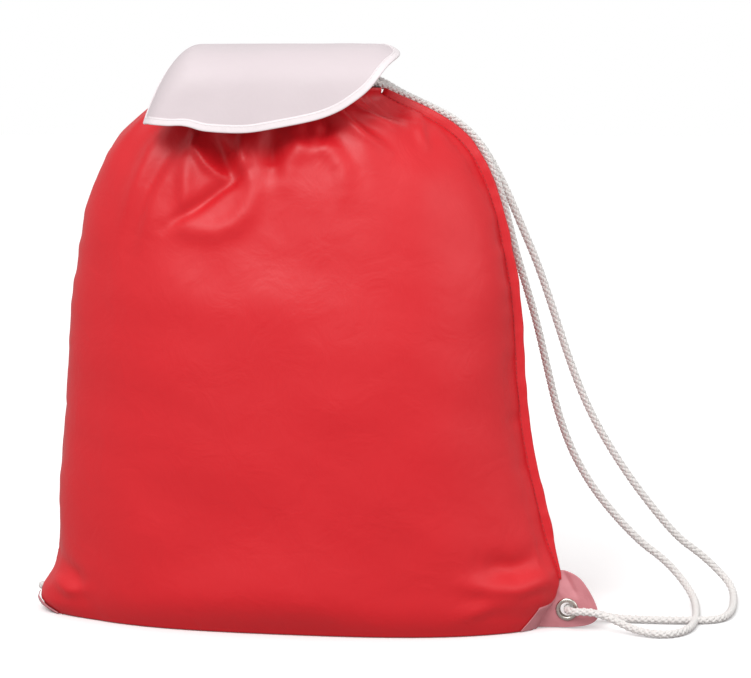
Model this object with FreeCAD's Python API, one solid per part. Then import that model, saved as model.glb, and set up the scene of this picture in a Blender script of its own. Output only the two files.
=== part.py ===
import FreeCAD, Part
import math
import os

from FreeCAD import Vector

# Drawstring backpack, standing on its base. Millimetres, +Z up, -Y is the front.
# The origin is on the floor, at the centre of the base.

# Bag body: closed curved sections, each turned with the side seams.
FABRIC = 1.5
TWIST = -7.5                      # turn of the side seams about Z, degrees
# height, half width, half depth, squareness, shift of the centre along X
STATIONS = [
    (0, 142, 45, 3.2, 0),
    (12, 146, 53, 3.0, 0),
    (45, 144, 57, 2.6, -1),
    (95, 138, 60, 2.4, -2),
    (150, 133, 60, 2.4, -2),
    (200, 128.5, 58, 2.4, -2.5),
    (235, 122, 53, 2.4, -2.5),
    (262, 114, 48, 2.4, -2.5),
    (285, 103, 42, 2.3, -3),
    (300, 88, 35, 2.2, -5),
    (309, 73, 30, 2.2, -9),
    (318, 62, 27, 2.2, -14),
]
SECTION_POINTS = 32

# Side seams: a stitched flange that stands out from the body.
FLANGE_WIDTH = 5.5
FLANGE_THICK = 1.6
FLANGE_LOW = 36.5
FLANGE_HIGH = 300.0
BOTTOM_SEAM = (250.0, 1.2, 8.0)   # allowance inside the base: length, thickness, height

# Drawcord tunnels: an oval ring round the mouth, open at both ends.
MOUTH_X = -14.0
TUNNEL_HALF_LENGTH = 62.0
TUNNEL_HALF_DEPTH = 28.0
TUNNEL_DEEP = 11.0
TUNNEL_LOW = 318.0
TUNNEL_HIGH = 337.0
TUNNEL_END = 50.0                 # the tunnels stop this far each side of MOUTH_X

# Cord: two loops, one through each corner eyelet.
CORD = 5.0
RIGHT_LEVEL = 324.2
LEFT_LEVEL = 330.8
JOIN_LENGTH = 18.0
JOIN_OUTER = 6.4
JOIN_INNER = 5.1
JOIN_OUT = 9.0                    # from MOUTH_X towards the cord's own corner
ARC_SHARE = 0.45                  # of the shorter run, taken by each arc of a route

# Flap: a D-shaped sheet that folds over the mouth from the rear tunnel.
FLAP_THICK = 1.2
HINGE = (30.5, 338.0)             # y, z of the fold line
HEM_WIDTH = 6.0
HEM_GAP = 0.1
FLAP_LEFT = -92.0
FLAP_RIGHT = 62.0
# outline from the right end, round the hanging edge to the left; the first five are on a curve
FLAP_CORNERS = [
    (FLAP_RIGHT, 338), (50, 319), (28, 304), (-22, 294), (-84, 297),
    (FLAP_LEFT, 302), (-72, 338), (-72, 380), (FLAP_RIGHT, 380),
]
FLAP_CURVED = 5
ANCHOR = (-60.0, 46.0, 28.3, 1.2, 322.0, 336.4)   # x from, x to, y, thickness, z from, z to

# Corner tabs and their eyelets, drawn from the seam outwards.
TAB_LAYER = 0.8
TAB_OUTLINE = [(-2, 0.4), (15, 0.8), (28, 5), (34, 12), (31, 20), (25, 27), (18, 33), (10, 36), (-2, 36)]
EYELET_OUT = 14.0
EYELET_UP = 11.8
EYELET_HOLE = 4.0
EYELET_BARREL = 4.6
EYELET_FLANGE = 6.8
EYELET_FLANGE_THICK = 1.0
TAB_HOLE = 4.7
WASHER_THICK = 0.8
# where each tab leaves the bag: x, y, heading about Z in degrees
RIGHT_TAB = (147.6, -20.2, -7.5)
LEFT_TAB = (-148.7, 19.6, 100.0)

# Routes of the shoulder cords, from the front end of a tunnel to the rear end.
RIGHT_ROUTE = [
    (36, -15.8, 324.2), (42.5, -9.3, 324.2), (50, -2.5, 321.5), (58, 2.5, 317.5),
    (68, 6.5, 313), (78, 10, 308), (90, 14, 302), (100, 17.5, 294.5),
    (109, 20, 284.5), (115.5, 20.5, 271), (121, 20.5, 256), (125.5, 20.5, 239),
    (131, 21, 217), (137.5, 23.5, 196), (143.5, 26.5, 175), (150, 30.5, 147),
    (157, 35, 118), (167, 39.5, 92), (182, 44.5, 67), (206, 51.5, 39),
    (223, 55, 26), (234, 55, 14), (241, 45, 4.5), (241, 18, 2.6),
    (238, -14, 2.6), (231, -38, 2.6), (217, -48, 2.6), (201, -41, 3.4),
    (188, -35.5, 9), (176, -34, 13), (160.6, -31, 12), (162.6, -11, 11.6),
    (176, -7, 6.5), (190, -6, 2.6), (210, -9, 2.6), (235, -10, 2.6),
    (254, -7, 2.6), (262, 14, 2.6), (266, 46, 3), (265.5, 62, 8),
    (258, 68, 16), (246, 66, 27.5), (231, 60, 39), (209, 51.5, 67),
    (192, 45.5, 92), (176, 39.5, 120), (164, 35, 150), (153, 31, 184),
    (143.5, 29, 212), (134, 28, 234), (126, 28, 253), (119.5, 28, 266.5),
    (112, 28, 280), (103, 26.5, 291), (93, 24, 299), (80, 20.5, 306.5),
    (68, 16.5, 312), (57.5, 11.5, 318), (50, 7, 323), (43.5, 8.3, 324.2),
    (36, 15.8, 324.2),
]
LEFT_ROUTE = [
    (-64, -15.8, 330.8), (-69.5, -10.3, 330.8), (-73.5, -3, 328.5), (-76, 6, 325),
    (-79, 16, 319.5), (-83, 27, 310), (-88, 37, 297), (-95, 46, 279),
    (-101, 53, 256), (-105.5, 60, 222), (-108, 65, 178), (-107, 69, 132),
    (-104, 73, 92), (-99, 79, 58), (-90, 88, 28), (-80, 104, 7),
    (-80, 125, 2.6), (-98, 139, 2.6), (-119, 128, 2.6), (-134, 106, 2.6),
    (-148, 84, 2.6), (-159, 62, 4.5), (-161.5, 44, 9), (-158.9, 31.5, 12),
    (-146, 33.8, 12), (-142, 46, 9), (-135, 58, 4.5), (-117, 67, 2.6),
    (-92, 71, 2.6), (-64, 71, 2.6), (-36, 69, 2.6), (-11, 75, 2.6),
    (2, 91, 2.6), (-4, 109, 2.6), (-24, 117, 2.6), (-44, 108, 6),
    (-60, 93, 22), (-70, 82, 52), (-76, 76, 92), (-79, 72, 140),
    (-80, 68, 190), (-80, 61, 235), (-79, 53, 270), (-77.5, 44, 294),
    (-75, 33.5, 311), (-73.5, 25, 322), (-72.5, 17.5, 329), (-68.8, 11, 330.8),
    (-64, 15.8, 330.8),
]


def superellipse(half_width, half_depth, squareness, points):
    """Points of a closed superellipse round the origin."""
    ring = []
    for i in range(points):
        angle = 2 * math.pi * i / points
        c = math.cos(angle)
        s = math.sin(angle)
        x = half_width * math.copysign(abs(c) ** (2 / squareness), c)
        y = half_depth * math.copysign(abs(s) ** (2 / squareness), s)
        ring.append(Vector(x, y, 0))
    return ring


def section(z, half_width, half_depth, squareness, shift, grow):
    curve = Part.BSplineCurve()
    ring = superellipse(half_width + grow, half_depth + grow, squareness, SECTION_POINTS)
    curve.interpolate(Points=ring, PeriodicFlag=True)
    wire = Part.Wire([curve.toShape()])
    wire.rotate(Vector(0, 0, 0), Vector(0, 0, 1), TWIST)
    wire.translate(Vector(shift, 0, z))
    return wire


def body_solid(grow, floor):
    """The body's outer form, grown outwards; floor is the height of its lowest section."""
    wires = [section(*station, grow) for station in STATIONS]
    wires[0].translate(Vector(0, 0, floor))
    return Part.makeLoft(wires, True, False)


def seam_slab(thick, y_from):
    """A wide upright block along the turned seam plane, from y_from over thick."""
    size = 600.0
    block = Part.makeBox(size, thick, size, Vector(-size / 2, y_from, -size / 4))
    block.rotate(Vector(0, 0, 0), Vector(0, 0, 1), TWIST)
    return block


def make_body(parts):
    outer = body_solid(0, 0)
    inner = body_solid(-FABRIC, FABRIC)
    shell = outer.cut(inner)
    half = 300.0
    parts["front_panel"] = shell.common(seam_slab(half, -half))
    parts["back_panel"] = shell.common(seam_slab(half, 0))
    return outer


def make_side_seams(parts, outer):
    wide = [section(z, w + FLANGE_WIDTH, d, q, shift, 0) for z, w, d, q, shift in STATIONS]
    slab = seam_slab(FLANGE_THICK, -FLANGE_THICK / 2)
    flange = Part.makeLoft(wide, True, False).common(slab).cut(outer)
    for side, name in ((0, "right_side_seam"), (-400, "left_side_seam")):
        span = Part.makeBox(400, 400, FLANGE_HIGH - FLANGE_LOW, Vector(side, -200, FLANGE_LOW))
        parts[name] = flange.common(span)
    length, thick, height = BOTTOM_SEAM
    strip = Part.makeBox(length, thick, height, Vector(-length / 2, -thick / 2, FABRIC))
    strip.rotate(Vector(0, 0, 0), Vector(0, 0, 1), TWIST)
    parts["bottom_seam_allowance"] = strip


def stadium(half_length, half_depth, z, height):
    """An upright oval prism round MOUTH_X: straight sides, round ends."""
    flat = half_length - half_depth
    block = Part.makeBox(2 * flat, 2 * half_depth, height, Vector(MOUTH_X - flat, -half_depth, z))
    for x in (MOUTH_X - flat, MOUTH_X + flat):
        block = block.fuse(Part.makeCylinder(half_depth, height, Vector(x, 0, z)))
    return block.removeSplitter()


def oval_ring(inset, z_inset):
    """The tunnel's ring, made smaller all round its section by the two insets."""
    low = TUNNEL_LOW + z_inset
    height = TUNNEL_HIGH - TUNNEL_LOW - 2 * z_inset
    outside = stadium(TUNNEL_HALF_LENGTH - inset, TUNNEL_HALF_DEPTH - inset, low, height)
    deep = TUNNEL_DEEP - inset
    return outside.cut(stadium(TUNNEL_HALF_LENGTH - deep, TUNNEL_HALF_DEPTH - deep, low, height))


def make_tunnels(parts):
    wall = 1.2
    tube = oval_ring(0, 0).cut(oval_ring(wall, wall))
    deep = 2 * TUNNEL_HALF_DEPTH
    tall = TUNNEL_HIGH - TUNNEL_LOW
    for name, y in (("front_tunnel", -deep), ("back_tunnel", 0)):
        span = Part.makeBox(2 * TUNNEL_END, deep, tall, Vector(MOUTH_X - TUNNEL_END, y, TUNNEL_LOW))
        parts[name] = tube.common(span)


def disc_sweep(edges, start, heading):
    """A round tube of the cord's diameter along tangent edges."""
    ring = Part.Wire([Part.makeCircle(CORD / 2, start, heading)])
    return Part.Wire(edges).makePipeShell([ring], True, False)


def route_edges(route):
    """Straight runs joined by tangent arcs, and the arcs' radii."""
    corners = [Vector(*p) for p in route]
    edges = []
    radii = []
    last = corners[0]
    for before, corner, after in zip(corners, corners[1:], corners[2:]):
        back = before - corner
        ahead = after - corner
        reach = ARC_SHARE * min(back.Length, ahead.Length)
        half_turn = (math.pi - back.getAngle(ahead)) / 2
        radius = reach / math.tan(half_turn)
        back.normalize()
        ahead.normalize()
        enter = corner + back * reach
        leave = corner + ahead * reach
        inward = back + ahead
        inward.normalize()
        middle = corner + inward * (radius / math.cos(half_turn) - radius)
        edges.append(Part.LineSegment(last, enter).toShape())
        edges.append(Part.Arc(enter, middle, leave).toShape())
        radii.append(radius)
        last = leave
    edges.append(Part.LineSegment(last, corners[-1]).toShape())
    return edges, radii


def make_strap(parts, name, route):
    edges, radii = route_edges(route)
    first = Vector(*route[0])
    tube = disc_sweep(edges, first, Vector(*route[1]) - first)
    length = sum(edge.Length for edge in edges)
    swept = math.pi * CORD ** 2 / 4 * length
    print(name, "length", round(length), "volume ratio", round(tube.Volume / swept, 4))
    print("  radii", " ".join(str(round(r, 1)) for r in radii))
    parts[name] = tube


def make_tunnel_cord(parts, side, level, mirror):
    """The stretch of one cord inside the tunnels: a U, open towards its own corner."""
    deep = TUNNEL_HALF_DEPTH - TUNNEL_DEEP / 2
    flat = TUNNEL_HALF_LENGTH - TUNNEL_HALF_DEPTH
    across = TUNNEL_END - flat
    swing = math.sqrt(deep ** 2 - across ** 2)

    def at(x, y):
        return Vector(MOUTH_X + mirror * x, y, level)

    diagonal = deep * math.sqrt(0.5)
    end_angle = math.atan2(swing, across)
    half_angle = (math.pi / 2 + end_angle) / 2
    bend = at(flat + deep * math.cos(half_angle), deep * math.sin(half_angle))
    bend_front = Vector(bend.x, -bend.y, bend.z)
    edges = [
        Part.Arc(at(flat + across, -swing), bend_front, at(flat, -deep)).toShape(),
        Part.LineSegment(at(flat, -deep), at(-flat, -deep)).toShape(),
        Part.Arc(at(-flat, -deep), at(-flat - diagonal, -diagonal), at(-flat - deep, 0)).toShape(),
        Part.Arc(at(-flat - deep, 0), at(-flat - diagonal, diagonal), at(-flat, deep)).toShape(),
        Part.LineSegment(at(-flat, deep), at(flat, deep)).toShape(),
        Part.Arc(at(flat, deep), bend, at(flat + across, swing)).toShape(),
    ]
    start = at(flat + across, -swing)
    heading = edges[0].tangentAt(edges[0].FirstParameter)
    parts[side + "_drawcord_tunnel"] = disc_sweep(edges, start, heading)
    along = Vector(1, 0, 0)
    low = at(JOIN_OUT, deep) - along * (JOIN_LENGTH / 2)
    bore = Part.makeCylinder(JOIN_INNER / 2, JOIN_LENGTH, low, along)
    sleeve = Part.makeCylinder(JOIN_OUTER / 2, JOIN_LENGTH, low, along)
    parts[side + "_cord_join"] = sleeve.cut(bore)


def inset_corners(corners, inset):
    """The corners of a closed outline in the XZ plane, moved inwards by an inset."""
    moved = []
    for i, corner in enumerate(corners):
        came = (corner - corners[i - 1]).normalize()
        goes = (corners[(i + 1) % len(corners)] - corner).normalize()
        side_came = Vector(came.z, 0, -came.x)
        middle = side_came + Vector(goes.z, 0, -goes.x)
        middle.normalize()
        moved.append(corner + middle * (inset / middle.dot(side_came)))
    return moved


def flap_prism(inset):
    """A solid through the whole depth, with the flap's outline as it hangs, seen from the front."""
    corners = inset_corners([Vector(x, 0, z) for x, z in FLAP_CORNERS], inset)
    curve = Part.BSplineCurve()
    curve.interpolate(corners[:FLAP_CURVED])
    straight = corners[FLAP_CURVED - 1:] + corners[:1]
    lines = [Part.LineSegment(p, q).toShape() for p, q in zip(straight, straight[1:])]
    face = Part.Face(Part.Wire([curve.toShape()] + lines))
    face.translate(Vector(0, -150, 0))
    return face.extrude(Vector(0, 300, 0))


def beside(route, distance):
    """The points of a route in the YZ plane, moved sideways by a distance."""
    points = [Vector(*p) for p in route]
    moved = []
    for i, point in enumerate(points):
        came = point - points[max(i - 1, 0)]
        goes = points[min(i + 1, len(points) - 1)] - point
        runs = [run.normalize() for run in (came, goes) if run.Length > 0]
        sides = [Vector(0, run.z, -run.y) for run in runs]
        middle = sides[0] + sides[-1]
        middle.normalize()
        moved.append(point + middle * (distance / middle.dot(sides[0])))
    return moved


def make_flap(parts):
    """The sheet's side view is a line of straight runs and arcs, given thickness and length."""
    hinge_y, hinge_z = HINGE
    side_view = [
        (hinge_y, hinge_z), (22, 345), (-36, 347), (-57, 334), (-64, 314), (-64, 285),
    ]
    lower = [(FLAP_LEFT - 10, y, z) for y, z in side_view]
    upper = beside(lower, FLAP_THICK)
    ends = [Part.LineSegment(Vector(*lower[i]), upper[i]).toShape() for i in (0, -1)]
    edges = route_edges(lower)[0] + route_edges(upper)[0] + ends
    profile = Part.Face(Part.Wire(Part.sortEdges(edges)[0]))
    sheet = profile.extrude(Vector(FLAP_RIGHT - FLAP_LEFT + 20, 0, 0))
    whole = sheet.common(flap_prism(0))
    parts["flap"] = whole.common(flap_prism(HEM_WIDTH + HEM_GAP))
    parts["flap_hem"] = whole.cut(flap_prism(HEM_WIDTH))
    x_from, x_to, y, thick, z_from, z_to = ANCHOR
    parts["flap_anchor"] = Part.makeBox(x_to - x_from, thick, z_to - z_from, Vector(x_from, y, z_from))


def place_tab(shape, place):
    x, y, heading = place
    shape.rotate(Vector(0, 0, 0), Vector(0, 0, 1), heading)
    shape.translate(Vector(x, y, 0))
    return shape


def make_tab(parts, side, place, outer):
    outline = Part.makePolygon([Vector(u, 0, z) for u, z in TAB_OUTLINE + TAB_OUTLINE[:1]])
    centre = Vector(EYELET_OUT, 0, EYELET_UP)
    through = Vector(0, 1, 0)

    def disc(radius, y_from, thick):
        return Part.makeCylinder(radius, thick, centre + through * y_from, through)

    for layer, sign in (("front", -1), ("rear", 1)):
        plate = Part.Face(outline).extrude(Vector(0, sign * TAB_LAYER, 0))
        plate = plate.cut(disc(TAB_HOLE, -TAB_LAYER, 2 * TAB_LAYER))
        parts[side + "_corner_tab_" + layer] = place_tab(plate, place).cut(outer)
    depth = 2 * TAB_LAYER + EYELET_FLANGE_THICK + WASHER_THICK
    front = -TAB_LAYER - EYELET_FLANGE_THICK
    barrel = disc(EYELET_BARREL, front, depth)
    eyelet = barrel.fuse(disc(EYELET_FLANGE, front, EYELET_FLANGE_THICK))
    eyelet = eyelet.cut(disc(EYELET_HOLE, front, depth)).removeSplitter()
    washer = disc(EYELET_FLANGE, TAB_LAYER, WASHER_THICK).cut(disc(TAB_HOLE, TAB_LAYER, WASHER_THICK))
    parts[side + "_eyelet"] = place_tab(eyelet, place)
    parts[side + "_eyelet_washer"] = place_tab(washer, place)


def main():
    os.makedirs("parts", exist_ok=True)
    parts = {}
    outer = make_body(parts)
    make_side_seams(parts, outer)
    make_tunnels(parts)
    make_flap(parts)
    make_tab(parts, "right", RIGHT_TAB, outer)
    make_tab(parts, "left", LEFT_TAB, outer)
    make_strap(parts, "right_drawcord_strap", RIGHT_ROUTE)
    make_strap(parts, "left_drawcord_strap", LEFT_ROUTE)
    make_tunnel_cord(parts, "right", RIGHT_LEVEL, 1)
    make_tunnel_cord(parts, "left", LEFT_LEVEL, -1)
    for name, shape in parts.items():
        box = shape.BoundBox
        print(name, shape.isValid(), len(shape.Solids), round(shape.Volume),
              [round(v, 1) for v in (box.XMin, box.YMin, box.ZMin, box.XMax, box.YMax, box.ZMax)])
        shape.exportStep("parts/" + name + ".step")


main()
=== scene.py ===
import math

import bmesh
import bpy
import numpy as np
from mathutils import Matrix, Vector
from mathutils.bvhtree import BVHTree


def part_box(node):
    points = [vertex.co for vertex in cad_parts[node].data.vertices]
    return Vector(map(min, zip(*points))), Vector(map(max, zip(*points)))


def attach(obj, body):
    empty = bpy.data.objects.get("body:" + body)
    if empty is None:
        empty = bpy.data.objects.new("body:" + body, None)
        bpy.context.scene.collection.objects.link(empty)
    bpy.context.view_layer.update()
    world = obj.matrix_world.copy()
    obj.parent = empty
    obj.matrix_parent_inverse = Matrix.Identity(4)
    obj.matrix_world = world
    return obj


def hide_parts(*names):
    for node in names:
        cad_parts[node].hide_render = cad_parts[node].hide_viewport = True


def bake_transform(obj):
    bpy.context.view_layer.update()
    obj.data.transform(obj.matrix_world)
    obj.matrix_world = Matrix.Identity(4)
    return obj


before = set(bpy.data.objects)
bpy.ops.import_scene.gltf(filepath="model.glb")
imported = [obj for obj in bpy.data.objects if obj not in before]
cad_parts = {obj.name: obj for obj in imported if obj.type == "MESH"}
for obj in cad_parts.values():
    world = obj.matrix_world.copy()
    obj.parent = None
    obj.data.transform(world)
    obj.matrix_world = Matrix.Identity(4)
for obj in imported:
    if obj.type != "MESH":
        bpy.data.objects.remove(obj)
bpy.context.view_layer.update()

bl_info = {
    "name": "Drawstring Backpack",
    "version": (1, 0, 0),
    "blender": (4, 5, 0),
    "location": "View3D > Sidebar > Backpack",
    "description": "Makes a filled drawstring backpack with a flap, cord straps and corner tabs",
    "category": "Add Mesh",
}

MM = 0.001
TWIST = math.radians(-7.5)                       # turn of the side seams about Z
ALONG = np.array([math.cos(TWIST), math.sin(TWIST), 0.0])     # along the seam plane, to the right
BACK = np.array([-math.sin(TWIST), math.cos(TWIST), 0.0])     # square to it, to the rear
MOUTH_X = -14.0                                  # centre of the mouth, mm
MOUTH_HALF_LENGTH = 56.5                         # of the oval along the middle of the tunnels, mm
MOUTH_HALF_DEPTH = 22.5
MOUTH_CLOTH = 330.0                              # flat cloth gathered round the whole mouth, mm
TUNNEL_END = 50.0                                # from the mouth's centre to where a cord comes out, mm
FOLD_WIDTH = 0.85                                # how narrow and how high the listed folds are made
FOLD_HEIGHT = 1.2
PANEL_COLUMNS = 190
SEED = 7

# Routes of the shoulder cords in metres, from the front end of a tunnel to its rear end.
RIGHT_ROUTE = [
    (0.036, -0.0158, 0.3242), (0.0425, -0.0093, 0.3242), (0.05, -0.0025, 0.3215), (0.058, 0.0025, 0.3175),
    (0.068, 0.0065, 0.313), (0.078, 0.01, 0.308), (0.09, 0.014, 0.302), (0.1, 0.0175, 0.2945),
    (0.109, 0.02, 0.2845), (0.1155, 0.0205, 0.271), (0.121, 0.0205, 0.256), (0.1255, 0.0205, 0.239),
    (0.131, 0.021, 0.217), (0.1375, 0.0235, 0.196), (0.1435, 0.0265, 0.175), (0.15, 0.0305, 0.147),
    (0.157, 0.035, 0.118), (0.167, 0.0395, 0.092), (0.182, 0.0445, 0.067), (0.206, 0.0515, 0.039),
    (0.223, 0.055, 0.026), (0.234, 0.055, 0.014), (0.241, 0.045, 0.0045), (0.241, 0.018, 0.0026),
    (0.238, -0.014, 0.0026), (0.231, -0.038, 0.0026), (0.217, -0.048, 0.0026), (0.201, -0.041, 0.0034),
    (0.188, -0.0355, 0.009), (0.176, -0.034, 0.013), (0.1606, -0.031, 0.012), (0.1626, -0.011, 0.0116),
    (0.176, -0.007, 0.0065), (0.19, -0.006, 0.0026), (0.21, -0.009, 0.0026), (0.235, -0.01, 0.0026),
    (0.254, -0.007, 0.0026), (0.262, 0.014, 0.0026), (0.266, 0.046, 0.003), (0.2655, 0.062, 0.008),
    (0.258, 0.068, 0.016), (0.246, 0.066, 0.0275), (0.231, 0.06, 0.039), (0.209, 0.0515, 0.067),
    (0.192, 0.0455, 0.092), (0.176, 0.0395, 0.12), (0.164, 0.035, 0.15), (0.153, 0.031, 0.184),
    (0.1435, 0.029, 0.212), (0.134, 0.028, 0.234), (0.126, 0.028, 0.253), (0.1195, 0.028, 0.2665),
    (0.112, 0.028, 0.28), (0.103, 0.0265, 0.291), (0.093, 0.024, 0.299), (0.08, 0.0205, 0.3065),
    (0.068, 0.0165, 0.312), (0.0575, 0.0115, 0.318), (0.05, 0.007, 0.323), (0.0435, 0.0083, 0.3242),
    (0.036, 0.0158, 0.3242),
]
LEFT_ROUTE = [
    (-0.064, -0.0158, 0.3308), (-0.0695, -0.0103, 0.3308), (-0.0735, -0.003, 0.3285),
    (-0.076, 0.006, 0.325), (-0.079, 0.016, 0.3195), (-0.083, 0.027, 0.31), (-0.088, 0.037, 0.297),
    (-0.095, 0.046, 0.279), (-0.101, 0.053, 0.256), (-0.1055, 0.06, 0.222), (-0.108, 0.065, 0.178),
    (-0.107, 0.069, 0.132), (-0.104, 0.073, 0.092), (-0.099, 0.079, 0.058), (-0.09, 0.088, 0.028),
    (-0.08, 0.104, 0.007), (-0.08, 0.125, 0.0026), (-0.098, 0.139, 0.0026), (-0.119, 0.128, 0.0026),
    (-0.134, 0.106, 0.0026), (-0.148, 0.084, 0.0026), (-0.159, 0.062, 0.0045), (-0.1615, 0.044, 0.009),
    (-0.1589, 0.0315, 0.012), (-0.146, 0.0338, 0.012), (-0.142, 0.046, 0.009), (-0.135, 0.058, 0.0045),
    (-0.117, 0.067, 0.0026), (-0.092, 0.071, 0.0026), (-0.064, 0.071, 0.0026), (-0.036, 0.069, 0.0026),
    (-0.011, 0.075, 0.0026), (0.002, 0.091, 0.0026), (-0.004, 0.109, 0.0026), (-0.024, 0.117, 0.0026),
    (-0.044, 0.108, 0.006), (-0.06, 0.093, 0.022), (-0.07, 0.082, 0.052), (-0.076, 0.076, 0.092),
    (-0.079, 0.072, 0.14), (-0.08, 0.068, 0.19), (-0.08, 0.061, 0.235), (-0.079, 0.053, 0.27),
    (-0.0775, 0.044, 0.294), (-0.075, 0.0335, 0.311), (-0.0735, 0.025, 0.322), (-0.0725, 0.0175, 0.329),
    (-0.0688, 0.011, 0.3308), (-0.064, 0.0158, 0.3308),
]


# ---------------------------------------------------------------- sizes and colours

def size_property(name, description, default, low, high):
    """A length in metres with its limits."""
    return bpy.props.FloatProperty(
        name=name, description=description, default=default, min=low, max=high, unit="LENGTH")


class BackpackSizes(bpy.types.PropertyGroup):
    """Sizes that a user may change."""
    cord: size_property("Cord diameter", "Outer diameter of the braided cord", 0.005, 0.002, 0.008)
    braid_pitch: size_property("Braid pitch", "Length of one full turn of a strand", 0.016, 0.006, 0.03)
    cloth: size_property("Cloth thickness", "Thickness of the cloth as drawn", 0.0005, 0.0001, 0.002)
    hem: size_property("Hem width", "Width of the flap's turned hem", 0.0042, 0.002, 0.012)
    stitch: size_property("Stitch pitch", "Distance from one stitch to the next", 0.0028, 0.0015, 0.006)
    flange: size_property("Seam width", "Width of the stitched side seam", 0.0055, 0.002, 0.012)


def colour_property(name, description, code):
    """A colour, given as an sRGB hex value."""
    return bpy.props.FloatVectorProperty(
        name=name, description=description, default=linear(code), size=4, min=0, max=1, subtype="COLOR")


def linear(code):
    """A six-figure sRGB hex value as a linear colour with alpha."""
    parts = [int(code[i:i + 2], 16) / 255 for i in (0, 2, 4)]
    return tuple(c / 12.92 if c <= 0.04045 else ((c + 0.055) / 1.055) ** 2.4 for c in parts) + (1.0,)


class BackpackColours(bpy.types.PropertyGroup):
    """Colours of the cloth, cord and metal."""
    body: colour_property("Body cloth", "Colour of the two panels", "D61924")
    flap: colour_property("Flap cloth", "Colour of the flap's single layer", "D6CACD")
    hem: colour_property("Hem cloth", "Colour of the hem, where the cloth is three layers thick", "EAE2E4")
    tab: colour_property("Tab cloth", "Colour of the corner tabs over the red cloth", "D58F95")
    cord: colour_property("Cord", "Colour of the braided cord", "EFECE9")
    thread: colour_property("White thread", "Sewing thread of the white pieces", "E9E0E2")
    red_thread: colour_property("Red thread", "Sewing thread of the red pieces", "B0161F")
    metal: colour_property("Eyelet metal", "Colour of the plated eyelets", "C9C4BC")


# ---------------------------------------------------------------- materials

def add(tree, kind, settings=None, values=None, links=None):
    """Adds one node with its settings, socket values and incoming links."""
    node = tree.nodes.new(kind)
    for key, value in (settings or {}).items():
        setattr(node, key, value)
    for key, value in (values or {}).items():
        node.inputs[key].default_value = value
    for key, source in (links or {}).items():
        tree.links.new(source, node.inputs[key])
    return node


def new_material(name):
    """An empty material and its node tree."""
    material = bpy.data.materials.new(name)
    material.use_nodes = True
    material.node_tree.nodes.clear()
    return material, material.node_tree


def close_material(tree, values, links):
    """Ends a material with its one shader."""
    shader = add(tree, "ShaderNodeBsdfPrincipled", values=values, links=links)
    add(tree, "ShaderNodeOutputMaterial", links={"Surface": shader.outputs["BSDF"]})


def woven_cloth(name, colour, deep, roughness, sheen, coarse):
    """Plain-woven filament polyester, calendered: smooth and evenly coloured, with a broad soft
    gloss and a fine square weave, whose shade and highlight are painted into the colour as well as bumped.
    The real threads are 0.2 mm apart; they are drawn 0.6 mm apart."""
    material, tree = new_material(name)
    drawn_thread = 0.0006
    place = add(tree, "ShaderNodeTexCoord")
    warp, weft = (
        add(tree, "ShaderNodeTexWave", {"wave_type": "BANDS", "bands_direction": axis},
            {"Scale": math.pi / drawn_thread / 10, "Distortion": 0.6, "Detail": 1.0, "Detail Scale": 2.0},
            {"Vector": place.outputs["UV"]}) for axis in "XY")
    weave = add(tree, "ShaderNodeMath", {"operation": "MULTIPLY"},
                links={0: warp.outputs["Fac"], 1: weft.outputs["Fac"]})
    cloud = add(tree, "ShaderNodeTexNoise", values={"Scale": 14.0, "Detail": 4.0, "Roughness": 0.6},
                links={"Vector": place.outputs["Object"]})
    crumple = add(tree, "ShaderNodeTexNoise",
                  values={"Scale": coarse, "Detail": 5.0, "Roughness": 0.55, "Distortion": 0.8},
                  links={"Vector": place.outputs["Object"]})
    tint = add(tree, "ShaderNodeMix", {"data_type": "RGBA"}, {6: colour, 7: deep},
               {0: cloud.outputs["Fac"]})
    # Painted shade and highlight of the weave: the colour is darkened to 0.93 between the threads and lifted
    # to 1.02 on their crowns.
    weave_painted_shade = add(tree, "ShaderNodeMapRange", values={1: 0.0, 2: 1.0, 3: 0.93, 4: 1.02},
                links={0: weave.outputs[0]})
    final = add(tree, "ShaderNodeMix", {"data_type": "RGBA", "blend_type": "MULTIPLY"}, {0: 1.0},
                {6: tint.outputs[2], 7: weave_painted_shade.outputs[0]})
    gloss = add(tree, "ShaderNodeMapRange",
                values={1: 0.3, 2: 0.7, 3: roughness - 0.05, 4: roughness + 0.07},
                links={0: cloud.outputs["Fac"]})
    soft = add(tree, "ShaderNodeBump", values={"Strength": 0.35, "Distance": 0.0016},
               links={"Height": crumple.outputs["Fac"]})
    fine = add(tree, "ShaderNodeBump", values={"Strength": 0.22, "Distance": 0.00012},
               links={"Height": weave.outputs[0], "Normal": soft.outputs["Normal"]})
    close_material(tree, {"Sheen Weight": sheen, "Sheen Roughness": 0.45, "IOR": 1.5,
                          "Specular IOR Level": 0.45},
                   {"Base Color": final.outputs[2], "Roughness": gloss.outputs[0],
                    "Normal": fine.outputs["Normal"]})
    return material


def braided_yarn(name, colour):
    """Textured polypropylene yarn: white, faintly shiny, with fine filaments along each strand."""
    material, tree = new_material(name)
    uv = add(tree, "ShaderNodeTexCoord")
    stretch = add(tree, "ShaderNodeMapping", values={"Scale": (0.16, 1.0, 1.0)},
                  links={"Vector": uv.outputs["UV"]})
    hairs = add(tree, "ShaderNodeTexNoise", values={"Scale": 7000.0, "Detail": 3.0, "Roughness": 0.7},
                links={"Vector": stretch.outputs["Vector"]})
    dark = tuple(0.74 * c for c in colour[:3]) + (1.0,)
    tint = add(tree, "ShaderNodeMix", {"data_type": "RGBA"}, {6: dark, 7: colour},
               {0: hairs.outputs["Fac"]})
    bump = add(tree, "ShaderNodeBump", values={"Strength": 0.55, "Distance": 0.0002},
               links={"Height": hairs.outputs["Fac"]})
    close_material(tree, {"Roughness": 0.55, "Sheen Weight": 0.35, "Sheen Roughness": 0.5, "IOR": 1.49},
                   {"Base Color": tint.outputs[2], "Normal": bump.outputs["Normal"]})
    return material


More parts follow.
